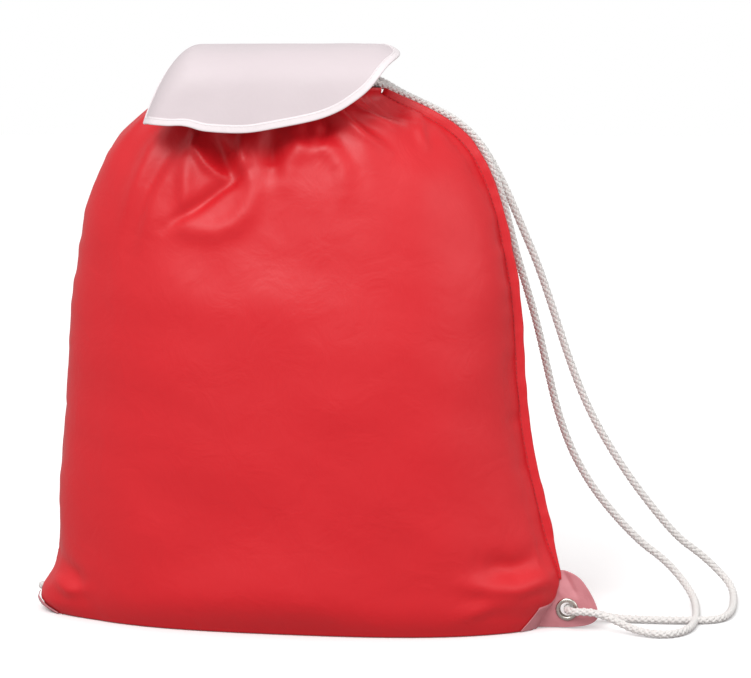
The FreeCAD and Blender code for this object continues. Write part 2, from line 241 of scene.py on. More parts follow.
def sewing_thread(name, colour):
    """Spun polyester thread: matt, with the slant of its twist."""
    material, tree = new_material(name)
    place = add(tree, "ShaderNodeTexCoord")
    twist = add(tree, "ShaderNodeTexWave", {"wave_type": "BANDS", "bands_direction": "DIAGONAL"},
                {"Scale": 700.0, "Distortion": 1.0}, {"Vector": place.outputs["Object"]})
    bump = add(tree, "ShaderNodeBump", values={"Strength": 0.4, "Distance": 0.0001},
               links={"Height": twist.outputs["Fac"]})
    close_material(tree, {"Base Color": colour, "Roughness": 0.7, "Sheen Weight": 0.2},
                   {"Normal": bump.outputs["Normal"]})
    return material


def plated_brass(name, colour):
    """Pressed brass with bright nickel plating: mirror-like, with fine handling scratches."""
    material, tree = new_material(name)
    place = add(tree, "ShaderNodeTexCoord")
    stretch = add(tree, "ShaderNodeMapping", values={"Scale": (1.0, 1.0, 6.0)},
                  links={"Vector": place.outputs["Object"]})
    scratch = add(tree, "ShaderNodeTexNoise", values={"Scale": 900.0, "Detail": 4.0, "Roughness": 0.7},
                  links={"Vector": stretch.outputs["Vector"]})
    cloud = add(tree, "ShaderNodeTexNoise", values={"Scale": 160.0, "Detail": 2.0},
                links={"Vector": place.outputs["Object"]})
    gloss = add(tree, "ShaderNodeMapRange", values={1: 0.3, 2: 0.7, 3: 0.14, 4: 0.3},
                links={0: cloud.outputs["Fac"]})
    bump = add(tree, "ShaderNodeBump", values={"Strength": 0.08, "Distance": 0.00005},
               links={"Height": scratch.outputs["Fac"]})
    close_material(tree, {"Base Color": colour, "Metallic": 1.0},
                   {"Roughness": gloss.outputs[0], "Normal": bump.outputs["Normal"]})
    return material


def shrunk_sleeve(name):
    """Clear heat-shrunk tube over the cord's joined ends: smooth and slightly milky."""
    material, tree = new_material(name)
    place = add(tree, "ShaderNodeTexCoord")
    ripple = add(tree, "ShaderNodeTexNoise", values={"Scale": 600.0, "Detail": 2.0},
                 links={"Vector": place.outputs["Object"]})
    bump = add(tree, "ShaderNodeBump", values={"Strength": 0.2, "Distance": 0.0002},
               links={"Height": ripple.outputs["Fac"]})
    close_material(tree, {"Base Color": linear("DEDCD8"), "Roughness": 0.3, "IOR": 1.52},
                   {"Normal": bump.outputs["Normal"]})
    return material


def plain_backdrop(name):
    """Smooth matt paper, faintly mottled. It is greyer to bounced light, so that the bag's lower part
    keeps its depth, and it glows a little to the camera, so that no horizon shows."""
    material, tree = new_material(name)
    place = add(tree, "ShaderNodeTexCoord")
    mottle = add(tree, "ShaderNodeTexNoise", values={"Scale": 2.0, "Detail": 2.0},
                 links={"Vector": place.outputs["Object"]})
    tint = add(tree, "ShaderNodeMix", {"data_type": "RGBA"}, {6: linear("FCFCFC"), 7: linear("FFFFFF")},
               {0: mottle.outputs["Fac"]})
    seen = add(tree, "ShaderNodeLightPath")
    bounce = add(tree, "ShaderNodeMix", {"data_type": "RGBA"}, {6: linear("AAA6A6")},
                 {0: seen.outputs["Is Camera Ray"], 7: tint.outputs[2]})
    glow = add(tree, "ShaderNodeMapRange", values={3: 0.0, 4: 0.13},
               links={0: seen.outputs["Is Camera Ray"]})
    close_material(tree, {"Roughness": 0.9, "Emission Color": linear("FFFFFF")},
                   {"Base Color": bounce.outputs[2], "Emission Strength": glow.outputs[0]})
    return material


MATERIALS = {}


def material(name):
    """One of the backpack's materials, made the first time that it is asked for."""
    if name in MATERIALS:
        return MATERIALS[name]
    colours = bpy.context.scene.backpack_colours
    makers = {
        "red_taffeta": lambda: woven_cloth(
            "red_polyester_taffeta", tuple(colours.body), linear("D0141E"), 0.43, 0.03, 45.0),
        "white_taffeta": lambda: woven_cloth(
            "white_polyester_taffeta", tuple(colours.flap), linear("D0C3C7"), 0.55, 0.1, 30.0),
        "hem_taffeta": lambda: woven_cloth(
            "folded_white_polyester_taffeta", tuple(colours.hem), linear("E5DBDD"), 0.5, 0.1, 60.0),
        "tab_taffeta": lambda: woven_cloth(
            "thin_white_taffeta_over_red", tuple(colours.tab), linear("C4777E"), 0.45, 0.05, 90.0),
        "yarn": lambda: braided_yarn("braided_polypropylene_yarn", tuple(colours.cord)),
        "white_thread": lambda: sewing_thread("white_polyester_thread", tuple(colours.thread)),
        "red_thread": lambda: sewing_thread("red_polyester_thread", tuple(colours.red_thread)),
        "nickel": lambda: plated_brass("nickel_plated_brass", tuple(colours.metal)),
        "sleeve": lambda: shrunk_sleeve("clear_shrunk_sleeve"),
        "backdrop": lambda: plain_backdrop("matt_paper_backdrop"),
    }
    MATERIALS[name] = makers[name]()
    return MATERIALS[name]


# ---------------------------------------------------------------- mesh helpers

def new_object(name, mesh, material_name):
    """A smooth-shaded object in the scene, with one material."""
    thing = bpy.data.objects.new(name, mesh)
    bpy.context.scene.collection.objects.link(thing)
    mesh.materials.clear()
    mesh.materials.append(material(material_name))
    for polygon in mesh.polygons:
        polygon.use_smooth = True
    return thing


def grid_faces(rows, columns, wrap=False, around=False, start=0):
    """Quads of a grid of points stored row by row. wrap joins the last column to the first, and
    around joins the last row to the first."""
    faces = []
    for r in range(rows if around else rows - 1):
        near = start + r * columns
        far = start + (r + 1) % rows * columns
        for c in range(columns if wrap else columns - 1):
            d = (c + 1) % columns
            faces.append((near + c, near + d, far + d, far + c))
    return faces


def mesh_from(name, points, faces, uv=None):
    """A mesh of points in metres, with an optional UV map given per point."""
    mesh = bpy.data.meshes.new(name)
    mesh.from_pydata([tuple(p) for p in points], [], faces)
    if uv is not None:
        layer = mesh.uv_layers.new(name="UVMap")
        index = np.zeros(len(mesh.loops), int)
        mesh.loops.foreach_get("vertex_index", index)
        layer.data.foreach_set("uv", np.asarray(uv, float)[index].ravel())
    mesh.validate()
    return mesh


def evaluated_mesh(thing):
    """The object's shape as a plain mesh, with its modifiers applied."""
    graph = bpy.context.evaluated_depsgraph_get()
    return bpy.data.meshes.new_from_object(thing.evaluated_get(graph), depsgraph=graph)


def apply_modifiers(thing):
    """Turns the object's mesh into the evaluated one and removes its modifiers."""
    made = evaluated_mesh(thing)
    thing.modifiers.clear()
    thing.data = made
    return thing


def face_outwards(thing):
    """Merges doubled points and turns all faces outwards."""
    work = bmesh.new()
    work.from_mesh(thing.data)
    bmesh.ops.remove_doubles(work, verts=work.verts, dist=1e-6)
    bmesh.ops.recalc_face_normals(work, faces=work.faces)
    work.to_mesh(thing.data)
    work.free()


def closed_band(name, sections, uv, material_name):
    """A closed strip from its cross-sections, one for each place along it, in mm."""
    count, corners = sections.shape[:2]
    faces = grid_faces(count, corners, wrap=True)
    faces.append(tuple(range(corners)))
    faces.append(tuple(reversed(range((count - 1) * corners, count * corners))))
    mesh = mesh_from(name, sections.reshape(-1, 3) * MM, faces, uv.reshape(-1, 2) * MM)
    band = new_object(name, mesh, material_name)
    face_outwards(band)
    return band


def give_thickness(thing, thickness, offset=-1.0):
    """Turns a single sheet into cloth with two faces; offset -1 puts the thickness inwards."""
    solid = thing.modifiers.new("thickness", "SOLIDIFY")
    solid.thickness = thickness
    solid.offset = offset
    solid.use_even_offset = False
    return apply_modifiers(thing)


def smooth(x, low, high):
    """0 below low, 1 above high and smooth between."""
    t = np.clip((np.asarray(x, float) - low) / (high - low), 0, 1)
    return t * t * (3 - 2 * t)


def unit(vectors):
    """The same directions, each 1 long."""
    return vectors / np.linalg.norm(vectors, axis=-1)[..., None]


def along_lengths(points):
    """How far along the line each of its points is."""
    steps = np.linalg.norm(np.diff(points, axis=0), axis=1)
    return np.concatenate([[0], np.cumsum(steps)])


def resample(points, step):
    """Points evenly spaced along a line."""
    points = np.asarray(points, float)
    length = along_lengths(points)
    count = max(2, int(round(length[-1] / step)) + 1)
    wanted = np.linspace(0, length[-1], count)
    return np.column_stack([np.interp(wanted, length, points[:, i]) for i in range(3)])


def path_frames(points):
    """Tangents and two steady side directions along a line, turned as little as possible."""
    tangents = unit(np.gradient(points, axis=0))
    side = np.cross(tangents[0], (0.0, 0.0, 1.0))
    if np.linalg.norm(side) < 0.1:
        side = np.cross(tangents[0], (1.0, 0.0, 0.0))
    sides = []
    for tangent in tangents:
        side = side - tangent * side.dot(tangent)
        side /= np.linalg.norm(side)
        sides.append(side)
    sides = np.array(sides)
    return tangents, sides, np.cross(tangents, sides)


def noise_1d(x, seed, scale):
    """Smooth random values between -1 and 1 along x; scale is the distance between knots."""
    knots = np.random.default_rng(seed).uniform(-1, 1, 4096)
    t = np.asarray(x, float) / scale + 1000
    i = np.floor(t).astype(int)
    f = t - i
    f = smooth(f, 0, 1)
    return knots[i % 4096] * (1 - f) + knots[(i + 1) % 4096] * f


def noise_2d(x, y, seed, scale):
    """Smooth random values between -1 and 1 over a plane."""
    knots = np.random.default_rng(seed).uniform(-1, 1, (256, 256))
    tx = np.asarray(x, float) / scale + 128
    ty = np.asarray(y, float) / scale + 128
    i = np.floor(tx).astype(int)
    j = np.floor(ty).astype(int)
    fx = smooth(tx - i, 0, 1)
    fy = smooth(ty - j, 0, 1)
    low = knots[i % 256, j % 256] * (1 - fx) + knots[(i + 1) % 256, j % 256] * fx
    high = knots[i % 256, (j + 1) % 256] * (1 - fx) + knots[(i + 1) % 256, (j + 1) % 256] * fx
    return low * (1 - fy) + high * fy


# ---------------------------------------------------------------- stitches

def stitch_tree():
    """Geometry Nodes: a row of stitches along a line of edges."""
    if "stitch_row" in bpy.data.node_groups:
        return bpy.data.node_groups["stitch_row"]
    tree = bpy.data.node_groups.new("stitch_row", "GeometryNodeTree")
    face = tree.interface
    face.new_socket("Line", in_out="INPUT", socket_type="NodeSocketGeometry")
    for label, value in (("Pitch", 0.0028), ("Stitch length", 0.0021), ("Thread radius", 0.00022)):
        socket = face.new_socket(label, in_out="INPUT", socket_type="NodeSocketFloat")
        socket.default_value = value
    face.new_socket("Thread", in_out="INPUT", socket_type="NodeSocketMaterial")
    face.new_socket("Stitches", in_out="OUTPUT", socket_type="NodeSocketGeometry")
    given = add(tree, "NodeGroupInput")
    line = add(tree, "GeometryNodeMeshToCurve", links={"Mesh": given.outputs["Line"]})
    spaced = add(tree, "GeometryNodeResampleCurve", {"mode": "LENGTH"},
                 links={"Curve": line.outputs["Curve"], "Length": given.outputs["Pitch"]})
    tangent = add(tree, "GeometryNodeInputTangent")
    turned = add(tree, "FunctionNodeAlignEulerToVector", {"axis": "Z"},
                 links={"Vector": tangent.outputs["Tangent"]})
    stitch = add(tree, "GeometryNodeMeshUVSphere", values={"Segments": 6, "Rings": 5, "Radius": 1.0})
    half = add(tree, "ShaderNodeMath", {"operation": "MULTIPLY"}, {1: 0.5},
               {0: given.outputs["Stitch length"]})
    size = add(tree, "ShaderNodeCombineXYZ",
               links={"X": given.outputs["Thread radius"], "Y": given.outputs["Thread radius"],
                      "Z": half.outputs[0]})
    shaped = add(tree, "GeometryNodeTransform",
                 links={"Geometry": stitch.outputs["Mesh"], "Scale": size.outputs["Vector"]})
    placed = add(tree, "GeometryNodeInstanceOnPoints",
                 links={"Points": spaced.outputs["Curve"], "Instance": shaped.outputs["Geometry"],
                        "Rotation": turned.outputs["Rotation"]})
    real = add(tree, "GeometryNodeRealizeInstances", links={"Geometry": placed.outputs["Instances"]})
    painted = add(tree, "GeometryNodeSetMaterial",
                  links={"Geometry": real.outputs["Geometry"], "Material": given.outputs["Thread"]})
    add(tree, "NodeGroupOutput", links={"Stitches": painted.outputs["Geometry"]})
    return tree


def sew(name, lines, thread, pitch=None, radius=0.00022):
    """Stitches along lines of points in metres, as one plain mesh."""
    points = []
    edges = []
    for line in lines:
        start = len(points)
        points += [tuple(p) for p in line]
        edges += [(i, i + 1) for i in range(start, len(points) - 1)]
    mesh = bpy.data.meshes.new(name)
    mesh.from_pydata(points, edges, [])
    thing = bpy.data.objects.new(name, mesh)
    bpy.context.scene.collection.objects.link(thing)
    modifier = thing.modifiers.new("stitches", "NODES")
    modifier.node_group = stitch_tree()
    sockets = {i.name: i.identifier for i in modifier.node_group.interface.items_tree
               if i.in_out == "INPUT"}
    pitch = pitch or bpy.context.scene.backpack_sizes.stitch
    modifier[sockets["Pitch"]] = pitch
    modifier[sockets["Stitch length"]] = 0.78 * pitch
    modifier[sockets["Thread radius"]] = radius
    modifier[sockets["Thread"]] = material(thread)
    apply_modifiers(thing)
    for polygon in thing.data.polygons:
        polygon.use_smooth = True
    return thing


# ---------------------------------------------------------------- the filled body's form

def search_tree(*names):
    """One search tree over these frame nodes."""
    points = []
    faces = []
    for name in names:
        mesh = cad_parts[name].data
        start = len(points)
        points += [v.co.copy() for v in mesh.vertices]
        faces += [[start + i for i in polygon.vertices] for polygon in mesh.polygons]
    return BVHTree.FromPolygons(points, faces)


class BodyForm:
    """Widths and depths of the frame's body at each height, and the cloth's place on it, in mm."""

    def __init__(self):
        """Measures the body, and tables the oval section's place against its arc length."""
        tree = search_tree("front_panel", "back_panel")
        self.z = np.arange(1.0, 317.0, 3.0)
        rows = np.array([self.measure(tree, z) for z in self.z])
        reach = 6
        weights = np.hanning(2 * reach + 3)[1:-1]             # evens out the frame's flat facets
        weights /= weights.sum()
        longer = np.pad(rows, ((reach, reach), (0, 0)), mode="reflect", reflect_type="odd")
        rows = np.array([np.convolve(column, weights, mode="valid") for column in longer.T])
        self.centre, self.half, self.front, self.rear = rows
        angle = np.linspace(-math.pi / 2, math.pi / 2, 2001)
        x = np.sign(np.sin(angle)) * np.abs(np.sin(angle)) ** (2 / 2.7)
        y = np.abs(np.cos(angle)) ** (2 * 0.56)
        length = along_lengths(np.column_stack([x * 135, y * 58]))
        self.arc = length / length[-1] * 2 - 1
        self.arc_x = x
        self.arc_y = y

    @staticmethod
    def measure(tree, z):
        """Centre, half width and depths to the front and rear at one height."""
        def hit(origin, direction):
            """Where a ray meets the body, metres."""
            return np.array(tree.ray_cast(Vector(origin), Vector(direction))[0])

        up = np.array([0, 0, z * MM])
        right = hit(up + ALONG * 0.4, -ALONG).dot(ALONG)
        left = hit(up - ALONG * 0.4, ALONG).dot(ALONG)
        middle = ALONG * (right + left) / 2 + up
        front = hit(middle - BACK * 0.3, BACK).dot(BACK)
        rear = hit(middle + BACK * 0.3, -BACK).dot(BACK)
        return (right + left) / 2 / MM, (right - left) / 2 / MM, -front / MM, rear / MM

    def place(self, s, z, side):
        """Where the cloth is at s, from -1 at the left seam to 1 at the right one; side is -1 in front."""
        across = np.interp(s, self.arc, self.arc_x)
        out = np.interp(s, self.arc, self.arc_y)
        half = np.interp(z, self.z, self.half)
        centre = np.interp(z, self.z, self.centre)
        deep = np.interp(z, self.z, self.front if side < 0 else self.rear)
        sign = np.sign(across)
        fin = corner_reach(z, sign) * smooth(np.abs(across), 0.8, 1.0) * sign
        bulge = 8.5 * smooth(across, 0.6, 0.93) * (1 - smooth(across, 0.965, 1.0)) * (side > 0)
        x = centre + half * across + fin + bulge * smooth(z, 45, 100) * (1 - smooth(z, 262, 300))
        y = side * deep * out
        flat = x[..., None] * ALONG + y[..., None] * BACK
        flat[..., 2] = z
        return flat


def corner_reach(z, sign):
    """How far the body's corner is pulled out beside its tab, mm."""
    right = np.interp(z, (0, 10, 19, 27, 34, 42, 52, 64, 82, 100, 118, 150, 200, 290, 312),
                      (3, 5, 10.5, 12.5, 12.5, 11, 8.5, 7, 5, 2.8, 1.2, 0.5, 2, 2.5, 0))
    left = np.interp(z, (0, 4, 8, 17, 27, 38, 50, 64, 82, 100, 290, 312),
                     (10, 14, 15.5, 11.5, 4.2, 2.2, 2.3, 3.2, 4.4, 5, 4.5, 1))
    return np.where(sign > 0, right, left)


# Folds of the front, as seen square on: points (x, z), half width and height. Millimetres.
FRONT_FOLDS = [
    ([(-46, 304), (-47, 292), (-41, 280), (-35, 269)], 6.5, -5.5),
    ([(-60, 300), (-58, 288), (-50, 277), (-38, 268)], 3.2, 3.2),
    ([(-61, 292), (-62, 268), (-61, 246)], 6.0, 2.6),
    ([(-74, 240), (-54, 254), (-36, 268), (-25, 275)], 4.4, -3.2),
    ([(-25, 276), (-22, 262), (-26, 251), (-34, 243), (-44, 239), (-58, 239), (-72, 242)], 8.0, 2.3),
    ([(-29, 300), (-30, 284), (-26, 271)], 4.5, 3.0),
    ([(-13, 304), (-13, 288), (-11, 276)], 7.0, -5.5),
    ([(6, 306), (9, 294), (14, 284)], 6.0, -3.0),
    ([(-3, 268), (-2, 280), (5, 287), (15, 288), (24, 285), (30, 276), (31, 262)], 7.5, 2.6),
    ([(34, 317), (52, 310), (70, 306)], 5.5, -5.0),
    ([(28, 311), (42, 305), (60, 300)], 3.2, 3.0),
    ([(46, 319), (62, 313), (72, 304), (77, 290)], 3.2, 3.2),
    ([(60, 316), (78, 306), (90, 290)], 5.0, 2.0),
    ([(22, 310), (34, 300), (42, 294), (56, 286)], 3.6, 2.4),
    ([(14, 312), (20, 300), (16, 290)], 4.0, -2.6),
    ([(-80, 296), (-88, 268), (-97, 244)], 6.0, 1.8),
    ([(-66, 296), (-76, 276), (-88, 252), (-97, 226)], 6.5, -1.8),
    ([(-57, 292), (-68, 278), (-80, 258), (-88, 232)], 6.0, 1.8),
    ([(112, 44), (130, 41), (146, 45)], 8.0, -3.2),
    ([(100, 33), (116, 29), (132, 28), (146, 31), (156, 34)], 6.5, 3.0),
    ([(96, 12), (118, 20), (136, 20)], 6.0, 1.6),
    ([(-146, 36), (-134, 28), (-128, 14)], 5.0, -1.6),
    ([(-150, 24), (-138, 18), (-124, 20)], 4.5, 2.0),
]
REAR_FOLDS = [
    ([(-40, 308), (-44, 288), (-36, 262)], 5.5, -4.5),
    ([(-20, 308), (-18, 284), (-22, 252)], 4.5, 3.4),
    ([(4, 308), (6, 286), (2, 268)], 6.0, -4.6),
    ([(24, 304), (30, 280), (44, 252)], 5.0, 3.2),
    ([(-64, 300), (-76, 276), (-84, 244)], 5.5, 2.6),
    ([(48, 304), (60, 284), (72, 254)], 6.0, -3.0),
    ([(110, 40), (128, 34), (146, 38)], 6.5, 3.2),
    ([(-112, 40), (-130, 30), (-146, 34)], 6.5, 3.2),
]


def fold_height(x, z, path, width, height):
    """Height of one fold at each point: a smooth ridge along the path that fades at its ends."""
    best = np.full(x.shape, 1e9)
    place = np.zeros(x.shape)
    path = np.array(path, float)
    lengths = along_lengths(path)
    for (ax, az), (bx, bz), start in zip(path[:-1], path[1:], lengths[:-1]):
        dx, dz = bx - ax, bz - az
        run = math.hypot(dx, dz)
        t = np.clip(((x - ax) * dx + (z - az) * dz) / run ** 2, 0, 1)
        away = np.hypot(x - ax - t * dx, z - az - t * dz)
        nearer = away < best
        best = np.where(nearer, away, best)
        place = np.where(nearer, start + t * run, place)
    along = place / lengths[-1]
    ends = 0.15 + 0.85 * np.sin(np.pi * np.clip(along, 0.02, 0.98)) ** 0.7
    return height * ends * np.exp(-(best / width) ** 2)


def gathers(s, z, side):
    """Pleats that run down from the mouth: close together above, few and wide below. Millimetres."""
    across = s * 100 + 40 * side
    warp = across + 3.0 * noise_1d(across, SEED + 1, 23.0) + 1.5 * noise_2d(across, z, SEED + 2, 30.0)
    fine = np.sin(2 * np.pi * warp / 9.5) * (0.7 + 0.5 * noise_1d(across, SEED + 3, 14.0))
    wide = np.sin(2 * np.pi * warp / 26 + 1.0) * (0.6 + 0.6 * noise_1d(across, SEED + 4, 30.0))
    inside = 1 - smooth(np.abs(s), 0.8, 1.0)
    fine = fine * smooth(z, 298, 320) * (1 - 0.7 * smooth(s, 0.35, 0.6))
    return inside * 2.2 * (fine + wide * smooth(z, 258, 312))


def body_relief(points, s, z, side):
    """How far the cloth stands out from the smooth form, mm."""
    x = points[..., 0]
    relief = gathers(s, z, side)
    for path, width, height in FRONT_FOLDS if side < 0 else REAR_FOLDS:
        relief = relief + fold_height(x, z, path, FOLD_WIDTH * width, FOLD_HEIGHT * height)
    soft = 1 - smooth(np.abs(s), 0.93, 1.0)
    skew = 0.82 * x + 0.57 * z
    slant = 0.82 * z - 0.57 * x
    slack = noise_2d(skew, 0.7 * slant, SEED + 5 + side, 62.0) * 2.6
    slack += noise_2d(skew + 0.4 * slant, slant, SEED + 6 + side, 34.0) * 0.9
    slack += noise_2d(x + 0.5 * z, z, SEED + 8 + side, 19.0) * (0.25 + 0.5 * smooth(z, 215, 290))
    pucker = noise_1d(z, SEED + 12 + side, 7.0) * 0.6 * smooth(np.abs(s), 0.86, 0.97)
    return (relief + slack * smooth(z, 4, 30)) * soft + pucker * (1 - smooth(np.abs(s), 0.985, 1.0))


def panel_points(form, side):
    """The grid of one panel in mm: from the bottom seam out to the base's edge and up to the mouth."""
    columns = PANEL_COLUMNS
    even = np.linspace(-1, 1, columns)
    s = 0.55 * np.sin(even * math.pi / 2) + 0.45 * even
    heights = np.concatenate([np.arange(0, 12, 1.5), np.arange(12, 321, 2.0)])
    base = np.linspace(0.0, 0.97, 14)
    rows = []
    for share in base:
        ring = form.place(s, np.full(columns, 1.0), side)
        inward = (ring @ BACK)[:, None] * BACK * (1 - share)
        ring = ring - inward
        ring[:, 2] = 0.5 + 0.35 * (1 - smooth(share, 0.0, 0.3))
        rows.append(ring)
    grid_s, grid_z = np.meshgrid(s, heights)
    wall = form.place(grid_s, grid_z, side)
    relief = body_relief(wall, grid_s, grid_z, side)
    across = np.gradient(wall, axis=1)
    upward = np.gradient(wall, axis=0)
    normal = np.cross(across, upward) * -side
    normal /= np.linalg.norm(normal, axis=2)[..., None] + 1e-9
    wall = wall + normal * relief[..., None]
    wall[..., 2] = np.maximum(wall[..., 2], 0.5)
    return np.concatenate([rows, wall])


def panel_uv(points):
    """UV in metres: along the cloth, row by row and column by column."""
    rows, columns = points.shape[:2]
    u, v = np.meshgrid(along_lengths(points[rows // 2]), along_lengths(points[:, columns // 2]))
    return np.column_stack([u.ravel(), v.ravel()]) * MM


def finish_piece(thing, body, slot, *nodes):
    """What every piece gets at its end: it is attached to its body, and the frame nodes that it stands for
    are hidden. The slot is not used.
    """
    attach(thing, body)
    if nodes:
        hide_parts(*nodes)
    return thing


# ---------------------------------------------------------------- cords

def route_curve(name, route):
    """The cord's line: a NURBS curve with the route's points as its control points."""
    data = bpy.data.curves.new(name, "CURVE")
    data.dimensions = "3D"
    data.resolution_u = 10
    spline = data.splines.new("NURBS")
    spline.points.add(len(route) - 1)
    for point, (x, y, z) in zip(spline.points, route):
        point.co = (x, y, z, 1.0)
    spline.order_u = 3
    spline.use_endpoint_u = True
    line = bpy.data.objects.new(name, data)
    bpy.context.scene.collection.objects.link(line)
    points = np.array([v.co for v in evaluated_mesh(line).vertices])
    bpy.data.objects.remove(line)
    return points


def braid(name, points, sizes):
    """Eight flat strands, four each way, that pass over and under each other along a line."""
    outer = sizes.cord / 2
    pitch = sizes.braid_pitch
    points = resample(points, pitch / 18)
    length = along_lengths(points)
    _, sides, ups = path_frames(points)
    sides_of_strand = 6
    half_thick = 0.165 * outer * 2
    half_wide = 0.215 * outer * 2
    middle = outer - half_thick * 1.5
    ripple = half_thick * 0.62
    vertices = []
    faces = []
    uvs = []
    ring = np.linspace(0, 2 * math.pi, sides_of_strand, endpoint=False)
    for strand in range(8):
        way = 1 if strand % 2 == 0 else -1
        angle = way * 2 * math.pi * length / pitch + (strand // 2) * math.pi / 2
        radial = np.cos(angle)[:, None] * sides + np.sin(angle)[:, None] * ups
        radius = middle + way * ripple * np.cos(4 * angle)
        centre = points + radial * radius[:, None]
        wide = unit(np.cross(unit(np.gradient(centre, axis=0)), radial))
        start = strand * len(points) * sides_of_strand
        loop = (centre[:, None, :] + wide[:, None, :] * (half_wide * np.cos(ring))[None, :, None]
                + radial[:, None, :] * (half_thick * np.sin(ring))[None, :, None])
        vertices.append(loop.reshape(-1, 3))
        u = np.repeat(length + strand * 0.37, sides_of_strand)
        v = np.tile(ring / (2 * math.pi) * 0.006, len(points))
        uvs.append(np.column_stack([u, v]))
        faces += grid_faces(len(points), sides_of_strand, wrap=True, start=start)
        faces.append(tuple(start + i for i in reversed(range(sides_of_strand))))
        last = start + (len(points) - 1) * sides_of_strand
        faces.append(tuple(last + i for i in range(sides_of_strand)))
    mesh = mesh_from(name, np.concatenate(vertices), faces, np.concatenate(uvs))
    thing = new_object(name, mesh, "yarn")
    face_outwards(thing)
    return thing, points


# ---------------------------------------------------------------- flap

# The flap's side view from its rear seam over the mouth and down in front: depth and height, mm.
FLAP_PROFILE = [
    (29.6, 324), (30.2, 335), (24, 343), (0, 345.6), (-33, 344.6), (-50, 335.5), (-55.5, 318), (-56, 285),
]


def flap_profile():
    """The flap's side view in mm, evenly spaced along its length: depth y and height z."""
    curve = route_curve("flap_side_view", [(0, y * MM, z * MM) for y, z in FLAP_PROFILE]) / MM
    return resample(curve, 0.5)


class FlapForm:
    """Maps the flap's flat cloth (x across, b along from the rear seam) to its place, in mm."""

    def __init__(self):
        """Tables the side view and finds the ridge, where the flap turns down in front."""
        ridge_y = -36
        self.line = flap_profile()
        self.length = along_lengths(self.line)
        self.ridge = self.length[np.argmin(np.abs(self.line[:, 1] - ridge_y))]

    def place(self, x, b):
        """Drapes flat points: bent along the side view, drooping at both sides, faintly waved."""
        y = np.interp(b, self.length, self.line[:, 1])
        z = np.interp(b, self.length, self.line[:, 2])
        free = smooth(b, 12, 34)
        left = np.maximum(-(x + 55), 0)
        right = np.maximum(x - 46, 0)
        droop = 0.043 * left ** 2 + 0.02 * right ** 2
        hang = smooth(b, self.ridge - 6, self.ridge + 22)
        wave = 0.9 * noise_2d(x, b, SEED + 30, 34.0) + 0.3 * noise_2d(x, b, SEED + 31, 15.0)
        y = y + (wave + 1.0 * np.sin(x / 21.0 + 0.6)) * hang * free
        z = z - droop * free + 0.6 * wave * (1 - hang) * free
        return np.stack([x, y, z], axis=-1)


# The flap's flat cut in mm: across, and along from the rear seam. It goes round from the rear left.
FLAP_CUT = [
    (-61, 0), (-62, 14), (-66, 30), (-70, 46), (-74, 57), (-79, 67), (-83, 73.5), (-85.5, 78), (-86, 83),
    (-84.5, 90), (-80.5, 102), (-74, 115), (-67, 124.7), (-55, 132.5), (-40, 133.9), (-24, 134.2),
    (-8, 131.3), (5, 128.9), (17, 126.2), (28, 121.7), (36, 116.5), (43, 111.1), (48, 105.7), (54, 95.2),
    (59.5, 83), (61.5, 73), (61, 62), (57, 49), (54, 34), (50, 16), (47, 0),
]


def flap_outline():
    """The cut edge, evenly spaced, from the rear left round to the rear right, mm."""
    curve = route_curve("flap_cut", [(x * MM, b * MM, 0) for x, b in FLAP_CUT]) / MM
    return resample(curve, 1.3)[:, :2]


def inward_step(form, line, closed):
    """At each point of a line on the flat cloth, the step inwards that is 1 mm long once it hangs."""
    ahead = np.roll(line, -1, axis=0) - np.roll(line, 1, axis=0) if closed else np.gradient(line, axis=0)
    ahead = unit(ahead)
    inward = np.column_stack([ahead[:, 1], -ahead[:, 0]])
    gap = 0.5
    here = form.place(line[:, 0], line[:, 1])
    there = form.place(line[:, 0] + inward[:, 0] * gap, line[:, 1] + inward[:, 1] * gap)
    stretch = np.maximum(np.linalg.norm(there - here, axis=1) / gap, 1.0)
    return inward / stretch[:, None]


def build_flap(sizes):
    """The flap's cloth: rings of points that follow its edge, and closer rings under the hem."""
    form = FlapForm()
    edge = flap_outline()
    ends = along_lengths(edge)
    seam_share = smooth(ends, 0, 32) * smooth(ends[-1] - ends, 0, 32)
    rear_x = np.linspace(FLAP_CUT[-1][0], FLAP_CUT[0][0], 84)[1:-1]
    rear = np.column_stack([rear_x, np.zeros(len(rear_x))])
    loop = np.concatenate([edge, rear])
    share = np.concatenate([seam_share, np.zeros(len(rear))])
    hem = sizes.hem / MM
    centre = np.array([-10.0, 66.0])
    insets = [0.0, 0.6, 1.4, 2.4, 3.4, hem, hem + 1.2, hem + 2.6]
    inward = inward_step(form, loop, True)
    rings = [loop + inward * d * share[:, None] for d in insets]
    last = rings[-1]
    for pull in np.linspace(1, 0, 46)[1:-1]:
        rings.append(centre + (last - centre) * pull)
    count = len(loop)
    flat = np.concatenate(rings + [centre[None, :]])
    placed = form.place(flat[:, 0], flat[:, 1])
    faces = grid_faces(len(rings), count, wrap=True)
    tip = len(flat) - 1
    start = (len(rings) - 1) * count
    faces += [(start + i, start + (i + 1) % count, tip) for i in range(count)]
    mesh = mesh_from("flap_sheet", placed * MM, faces, flat * MM)
    sheet = new_object("flap_sheet", mesh, "white_taffeta")
    face_outwards(sheet)
    top = max(sheet.data.polygons, key=lambda p: p.center.z)
    if top.normal.z < 0:
        sheet.data.flip_normals()
    give_thickness(sheet, sizes.cloth)
    return sheet, form, edge


def sheet_up(form, flat):
    """Normals that point away from the bag: up on top and to the front on the hanging part."""
    gap = 0.5
    x, b = flat[:, 0], flat[:, 1]
    du = form.place(x + gap, b) - form.place(x - gap, b)
    dv = form.place(x, b + gap) - form.place(x, np.maximum(b - gap, 0))
    normal = unit(np.cross(dv, du))
    away = np.where(b < form.ridge, normal[:, 2], -normal[:, 1])
    away = np.where(b < 16, normal[:, 1], away)
    return normal * np.sign(away)[:, None]


